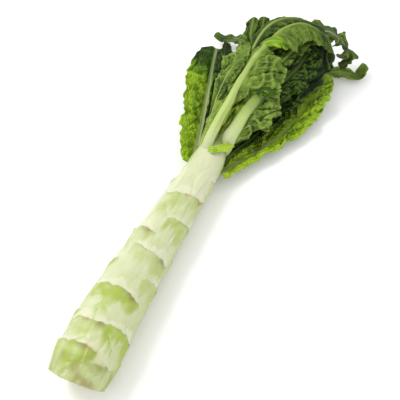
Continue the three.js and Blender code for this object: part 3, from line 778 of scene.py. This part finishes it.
def stem_faces(wall_rows, face_rows):
    """Quads of the wall and the cut face, and fans that close the face's middle and the shoot's tip."""
    wall = np.arange(wall_rows * STEM_SIDES).reshape(wall_rows, STEM_SIDES)
    inner = wall.size + np.arange(face_rows * STEM_SIDES).reshape(face_rows, STEM_SIDES)
    centre = wall.size + inner.size
    end = centre + 1
    closed = np.hstack([wall, wall[:, :1]])
    disc = np.vstack([wall[:1], inner])
    disc = np.hstack([disc, disc[:, :1]])
    faces = grid_faces(closed)[:, ::-1].tolist() + grid_faces(disc).tolist()
    for side in range(STEM_SIDES):
        faces.append([disc[-1, side], disc[-1, side + 1], centre])
        faces.append([closed[-1, side + 1], closed[-1, side], end])
    return faces


def build_stem():
    """The stem, its cut face and its shoot as one closed mesh."""
    wall, wall_colour = stem_wall()
    face, face_colour = cut_face(wall[0])
    ends = [face[-1].mean(axis=0), wall[-1].mean(axis=0)]
    end_colours = [face_colour[-1, 0], wall_colour[-1, 0]]
    points = np.vstack([wall.reshape(-1, 3), face.reshape(-1, 3), ends])
    paint = np.vstack([wall_colour.reshape(-1, 3), face_colour.reshape(-1, 3), end_colours])
    paint = np.hstack([paint, np.ones((len(paint), 1))])
    faces = stem_faces(len(wall), len(face))
    return make_piece("stem_form", "stem", points, faces, paint, stem_material())


# Leaves

def margin_wave(u, length, seed):
    """A slow uneven wave along a margin, about -1 to 1."""
    drift = 2.2 * noise(u / 45, u * 0 + 3, seed)
    slow = np.sin(2 * math.pi * u / length + drift + seed)
    quick = np.sin(2 * math.pi * u / (0.43 * length) - 1.7 * drift + 2 * seed)
    return 0.7 * slow + 0.4 * quick * (0.6 + 0.6 * noise(u / 30, u * 0 + 8, seed))


def half_width(leaf, key, share, u, seed):
    """The half-width along the midrib, with a scalloped and ragged margin and a rounded tip."""
    width = follow(leaf[key], share) * leaf["grow"]
    length = u[-1]
    round_from = 1 - min(TIP_SHARE, 1.1 * width[-1] / length)
    closing = np.sqrt(np.clip(1 - (np.clip(share - round_from, 0, 1) / (1 - round_from)) ** 2, 0.004, 1))
    scallop = 0.07 * noise(u / 11, u * 0 + 1, seed) + 0.03 * noise(u / 4, u * 0 + 2, seed)
    ragged = leaf["ragged"] * ramp(share, 0.55, 1) * rough_noise(u / 6, u * 0 + 5, seed)
    ragged = ragged + leaf["torn"] * rough_noise(u / 5, u * 0 + 6, seed)
    blade = ramp(width, 5, 12)
    return np.maximum(width * closing * (1 + blade * scallop + ragged), LEAST_WIDTH)


def half_profile(leaf, side, share, u, seed):
    """One half of the blade, row by row: how far out and up its points are, their distance from the midrib
    along the blade, and their share of the way to the margin. side is -1 for the left half."""
    key = "left" if side < 0 else "right"
    extra, droop = leaf["drape"]
    width = half_width(leaf, key, share, u, seed + side) * (1 + extra)
    columns = max(4, int(width.max() / LEAF_SPACING))
    edge = np.linspace(0, 1, columns + 1)
    middle = (edge[1:] + edge[:-1]) / 2
    wave = leaf["ruffle"] * margin_wave(u, leaf["wave"], seed + side) * ramp(width, 3, 12)
    curl = follow(leaf["curl_" + key], share) * (1 + extra)
    hang = droop * ramp(middle * (1 + extra), 0.7, 1 + extra) * ramp(width, 4, 14)[:, None]
    fold = follow(leaf["fold"], share)
    bend = fold[:, None] + curl[:, None] * middle + wave[:, None] * middle ** 1.6 - hang
    step = np.radians(bend)
    zero = np.zeros((len(u), 1))
    out = np.hstack([zero, np.cumsum(np.cos(step), axis=1)]) * width[:, None] / columns
    rise = np.hstack([zero, np.cumsum(np.sin(step), axis=1)]) * width[:, None] / columns
    v = side * edge * width[:, None]
    return side * out, rise, v, np.broadcast_to(edge, v.shape)


def leaf_surface(leaf, seed):
    """The leaf's middle surface as a grid of points, row by row from its left margin to its right one, and
    where they are: u along the midrib, v across it, and their share of the way to margin and tip."""
    samples = np.linspace(0, 1, MIDRIB_SAMPLES)
    length = np.linalg.norm(np.diff(follow(leaf["midrib"], samples), axis=0), axis=1).sum()
    share = np.linspace(0, 1, int(length / LEAF_SPACING) + 1)
    spine = follow(leaf["midrib"], share)
    u = np.concatenate([[0], np.cumsum(np.linalg.norm(np.diff(spine, axis=0), axis=1))])
    along = unit(np.gradient(spine, axis=0))
    face = follow(leaf["face"], share)
    face = unit(face - (face * along).sum(axis=1)[:, None] * along)
    across = np.cross(along, face)
    spine = spine - face * leaf["sink"] * (1 - ramp(u, 0, 3 + 2.2 * abs(leaf["sink"])))[:, None]
    halves = []
    for side in (-1, 1):
        out, rise, v, edge = half_profile(leaf, side, share, u, seed)
        point = spine[:, None] + across[:, None] * out[..., None] + face[:, None] * rise[..., None]
        halves.append((point, v, edge))
    point, v, edge = (np.concatenate([left[:, :0:-1], right], axis=1) for left, right in zip(*halves))
    return point, (np.broadcast_to(u[:, None], v.shape), v, edge, np.broadcast_to(share[:, None], v.shape))


def surface_normals(point):
    """Which way a grid of points faces."""
    along = np.gradient(point, axis=0)
    across = np.gradient(point, axis=1)
    return unit(np.cross(across, along) + 1e-9)


def leaf_relief(leaf, grid, seed):
    """From 0 to 1: where the midrib is, where the veins are, how far the blade swells between them and
    where it is blade. With them, the midrib's half-width and a number for each blister."""
    u, v, edge, share = grid
    rib_base, rib_tip, _ = leaf["rib"]
    rib_width = blend(rib_base, rib_tip, share) * (1 + 0.3 * (1 - ramp(u, 0, 30)))
    rib = np.sqrt(np.clip(1 - (v / rib_width) ** 2, 0, 1))
    away = np.abs(v)
    blade = ramp(away, 0.8 * rib_width, rib_width + 5)
    bend = 5 * noise(u / 18, v / 14, seed + 3) + 1.6 * noise(u / 6, v / 6, seed + 2)
    q = u - away / math.tan(math.radians(VEIN_ANGLE)) + bend
    q = q + np.where(v > 0, 0.5 * leaf["veins"], 0)
    off = np.abs((q / leaf["veins"] + 0.5) % 1 - 0.5) * leaf["veins"] * math.sin(math.radians(VEIN_ANGLE))
    vein = np.exp(-(off / 0.8) ** 2) * (1 - 0.7 * edge) * (0.6 + 0.6 * noise(u / 14, v / 9, seed + 8))
    vein = vein * blade
    shift = 0.5 * noise(u / 8, v / 8, seed + 4)
    inside, number = cells(q / BLISTER_LENGTH + shift, v / BLISTER_WIDTH - shift, seed + 5)
    small, _ = cells(q / (0.5 * BLISTER_LENGTH) - shift, v / (0.5 * BLISTER_WIDTH) + shift, seed + 6)
    dome = ramp(inside, 0, 0.5) * (0.4 + 0.6 * number) * 0.62 + 0.38 * ramp(small, 0, 0.6)
    swell = dome * blade * (1 - 0.8 * vein) * (1 - 0.4 * ramp(edge, 0.85, 1))
    net = (1 - ramp(inside, 0, 0.12)) * blade * (1 - 0.5 * edge)
    return rib, rib_width, np.maximum(vein, 0.3 * net), swell, blade, number


def leaf_lift(leaf, grid, relief, seed):
    """How far each point is off the middle surface: blisters, bends, wrinkles, creases and flutes."""
    u, v, edge, _ = grid
    _, _, vein, swell, blade, _ = relief
    upper = -1 if leaf["under"] else 1
    lift = upper * leaf["blister"] * swell - upper * 0.5 * vein
    lift = lift + leaf["crumple"] * blade * rough_noise(u / 26, v / 20, seed + 9, 2) * ramp(edge, 0.1, 0.6)
    lift = lift + 0.35 * leaf["crumple"] * blade * noise(u / 7, v / 7, seed + 10)
    for turn in (0, 1):
        ridge = 1 - np.abs(noise((u + (1 - 2 * turn) * v) / 15, (v - 0.4 * u) / 13, seed + 14 + turn))
        lift = lift + (1 - 2 * turn) * leaf["crease"] * blade * ridge ** 4
    flute_length, flute_depth = leaf["flutes"]
    phase = (u + 3 * noise(v / 9, u / 40, seed)) / flute_length
    return lift + flute_depth * blade * np.sin(2 * math.pi * phase)


def cavity(height, reach=3):
    """How far each point of a grid stands above or sinks below its neighbourhood, about -1 to 1."""
    eased = height
    for axis in (0, 1):
        padded = np.concatenate([np.repeat(np.take(eased, [0], axis), reach, axis), eased,
                                 np.repeat(np.take(eased, [-1], axis), reach, axis)], axis)
        count = eased.shape[axis]
        total = sum(np.take(padded, range(k, k + count), axis) for k in range(2 * reach + 1))
        eased = total / (2 * reach + 1)
    return np.clip((height - eased) / FULL_HOLLOW, -1, 1)


def paint_leaf(leaf, palette, grid, relief, hollows, seed):
    """Colour of one side: the palette from painted shade in hollows to painted light on tops, pale veins
    and a pale fibrous midrib.
    """
    u, v, edge, share = grid
    rib, rib_width, vein, swell, blade, number = relief
    hollow, body, top, pale = (linear(code) for code in PALETTES[palette])
    # Painted light and shade: blister tops and ridges are lighter and hollows darker, margins get partly
    # painted highlight, and the leaf's light term adds painted light, or painted shade where it is negative
    level = 0.5 + 0.25 * (swell - 0.35) * blade + leaf["mottle"] * rough_noise(u / 16, v / 12, seed + 20)
    level = level + 0.2 * (number - 0.5) + leaf["cavity"] * hollows
    level = level + leaf["margin"] * 0.5 * ramp(edge, 0.45, 1) - leaf["dark_tip"] * ramp(share, 0.62, 0.95)
    level = level + leaf["bright_base"] * (1 - ramp(share, 0.05, 0.4)) + leaf["light"]
    colour = np.broadcast_to(hollow, u.shape + (3,))
    colour = tint(colour, body, ramp(level, 0.05, 0.5))
    colour = tint(colour, top, ramp(level, 0.5, 0.95))
    colour = tint(colour, pale, (UNDER_VEIN_TINT if leaf["under"] else UPPER_VEIN_TINT) * vein)
    near_rib = np.clip(rib * 1.6, 0, 1) * (1 - leaf["rib_fade"] * ramp(share, 0.4, 0.9))
    colour = tint(colour, pale, 0.95 * near_rib)
    fibre = ramp(noise(v / 1.3, u / 45, seed + 30), 0, 1)
    colour = tint(colour, body, 0.35 * fibre * near_rib)
    near_stem = (1 - ramp(u, 8, 48)) * (rib_width > WIDE_RIB)
    return tint(colour, linear(STEM_PALE), 0.8 * near_rib * near_stem)


def shell_faces(shape):
    """Faces of a closed shell between two grids of points, the front one and the back one."""
    front = np.arange(shape[0] * shape[1]).reshape(shape)
    back = front + front.size
    faces = [grid_faces(front), grid_faces(back)[:, ::-1]]
    sides = ((front[:, 0], back[:, 0]), (back[:, -1], front[:, -1]))
    ends = ((back[0], front[0]), (front[-1], back[-1]))
    for first, second in sides + ends:
        faces.append(grid_faces(np.stack([first, second], axis=0)))
    return np.vstack(faces).tolist()


def build_leaf(name, entry, seed, materials):
    """One leaf as a closed shell, painted on both sides."""
    leaf = {**LEAF_DEFAULTS, **entry}
    if max(leaf["left"] + leaf["right"]) < NARROW:
        leaf["blister"] = entry.get("blister", SMOOTH_BLISTER)
        leaf["crumple"] = entry.get("crumple", SMOOTH_CRUMPLE)
    point, grid = leaf_surface(leaf, seed)
    _, _, edge, share = grid
    relief = leaf_relief(leaf, grid, seed)
    rib, _, vein, _, blade, _ = relief
    lift = leaf_lift(leaf, grid, relief, seed)
    point = point + surface_normals(point) * lift[..., None]
    normal = surface_normals(point)

    # The side with the proud midrib is the underside, and the other one is nearly flat there
    stalk = leaf["rib"][2] * rib * (1 - 0.75 * share)
    half = leaf["thickness"] / 2 * (1 - 0.6 * ramp(edge, 0.8, 1))
    proud, flat = half + stalk + 0.3 * vein, half + 0.2 * stalk
    front = point + normal * (proud if leaf["under"] else flat)[..., None]
    back = point - normal * (flat if leaf["under"] else proud)[..., None]
    points = np.vstack([front.reshape(-1, 3), back.reshape(-1, 3)])
    points[:, 2] = np.maximum(points[:, 2], FLOOR_GAP)

    # The paint's fourth number is how much of the fine vein network shows, which a midrib has little of
    # Painted shade in the relief's hollows and painted light on its tops, on both sides
    hollows = cavity(lift) * blade
    front_colour = paint_leaf(leaf, leaf["shows"], grid, relief, hollows, seed)
    back_colour = paint_leaf(leaf, leaf["hides"], grid, relief, -hollows, seed)
    paint = np.vstack([front_colour.reshape(-1, 3), back_colour.reshape(-1, 3)])
    network = np.tile((0.15 + 0.85 * blade).reshape(-1, 1), (2, 1))
    paint = np.hstack([paint, network])
    return make_piece(name + "_form", name, points, shell_faces(blade.shape), paint,
                      materials[leaf["slot"]])


# Floor, light and camera

# The camera's direction in degrees, its distance and target in millimetres, and its lens
VIEW_AZIMUTH = 26
VIEW_ELEVATION = 56
VIEW_DISTANCE = 1350
VIEW_TARGET = (15, 240, 29)
LENS = 115.7

# The floor's side and the lamp's distance and size are in metres, and its power is in watts
FLOOR_SIZE = 12
FLOOR_COLOUR = (0.93, 0.93, 0.93, 1)
SKY_STRENGTH = 1.1
LAMP_DIRECTION = (-0.7, -0.1, 1.15)
LAMP_DISTANCE = 2.2
LAMP_SIZE = 0.8
LAMP_POWER = 20


def build_floor():
    """A plain pale floor."""
    mesh = bpy.data.meshes.new("floor")
    half = FLOOR_SIZE / 2
    corners = [(-half, -half, 0), (half, -half, 0), (half, half, 0), (-half, half, 0)]
    mesh.from_pydata(corners, [], [(0, 1, 2, 3)])
    floor = bpy.data.objects.new("floor", mesh)
    bpy.context.scene.collection.objects.link(floor)
    material, _, shader = new_tree("floor_paper")
    shader.inputs["Base Color"].default_value = FLOOR_COLOUR
    shader.inputs["Roughness"].default_value = 0.9
    shader.inputs["Specular IOR Level"].default_value = 0.1
    mesh.materials.append(material)


def build_lights():
    """An even white sky, and one square lamp that looks at the middle of the object."""
    world = bpy.data.worlds.new("studio")
    world.use_nodes = True
    sky = world.node_tree.nodes["Background"]
    sky.inputs["Color"].default_value = (1, 1, 1, 1)
    sky.inputs["Strength"].default_value = SKY_STRENGTH
    bpy.context.scene.world = world
    data = bpy.data.lights.new("key", "AREA")
    data.size = LAMP_SIZE
    data.energy = LAMP_POWER
    lamp = bpy.data.objects.new("key", data)
    toward = Vector(LAMP_DIRECTION).normalized()
    lamp.location = Vector(place(VIEW_TARGET)) + toward * LAMP_DISTANCE
    lamp.rotation_euler = toward.to_track_quat("Z", "Y").to_euler()
    bpy.context.scene.collection.objects.link(lamp)


def build_camera():
    """The camera where the photo was taken from."""
    azimuth, elevation = math.radians(VIEW_AZIMUTH), math.radians(VIEW_ELEVATION)
    back = Vector((math.sin(azimuth) * math.cos(elevation), -math.cos(azimuth) * math.cos(elevation),
                   math.sin(elevation)))
    data = bpy.data.cameras.new("camera")
    data.lens = LENS
    data.clip_start = 0.01
    data.clip_end = 50
    camera = bpy.data.objects.new("camera", data)
    camera.location = Vector(place(VIEW_TARGET)) + back * VIEW_DISTANCE * MM
    camera.rotation_euler = back.to_track_quat("Z", "Y").to_euler()
    bpy.context.scene.collection.objects.link(camera)
    bpy.context.scene.camera = camera


def build_celtuce():
    """The stem and all leaves."""
    materials = {
        "leaf_bright": leaf_material("leaf_upper_side", UPPER_ROUGHNESS, UPPER_NETWORK),
        "leaf_underside": leaf_material("leaf_lower_side", LOWER_ROUGHNESS, LOWER_NETWORK),
        "leaf_dark": leaf_material("leaf_shaded_side", SHADED_ROUGHNESS, UPPER_NETWORK),
    }
    build_stem()
    for number, (name, entry) in enumerate(LEAVES.items()):
        build_leaf(name, entry, FIRST_SEED + SEED_STEP * number, materials)


bpy.context.scene.view_settings.view_transform = "Standard"
build_camera()
build_lights()
build_floor()
build_celtuce()
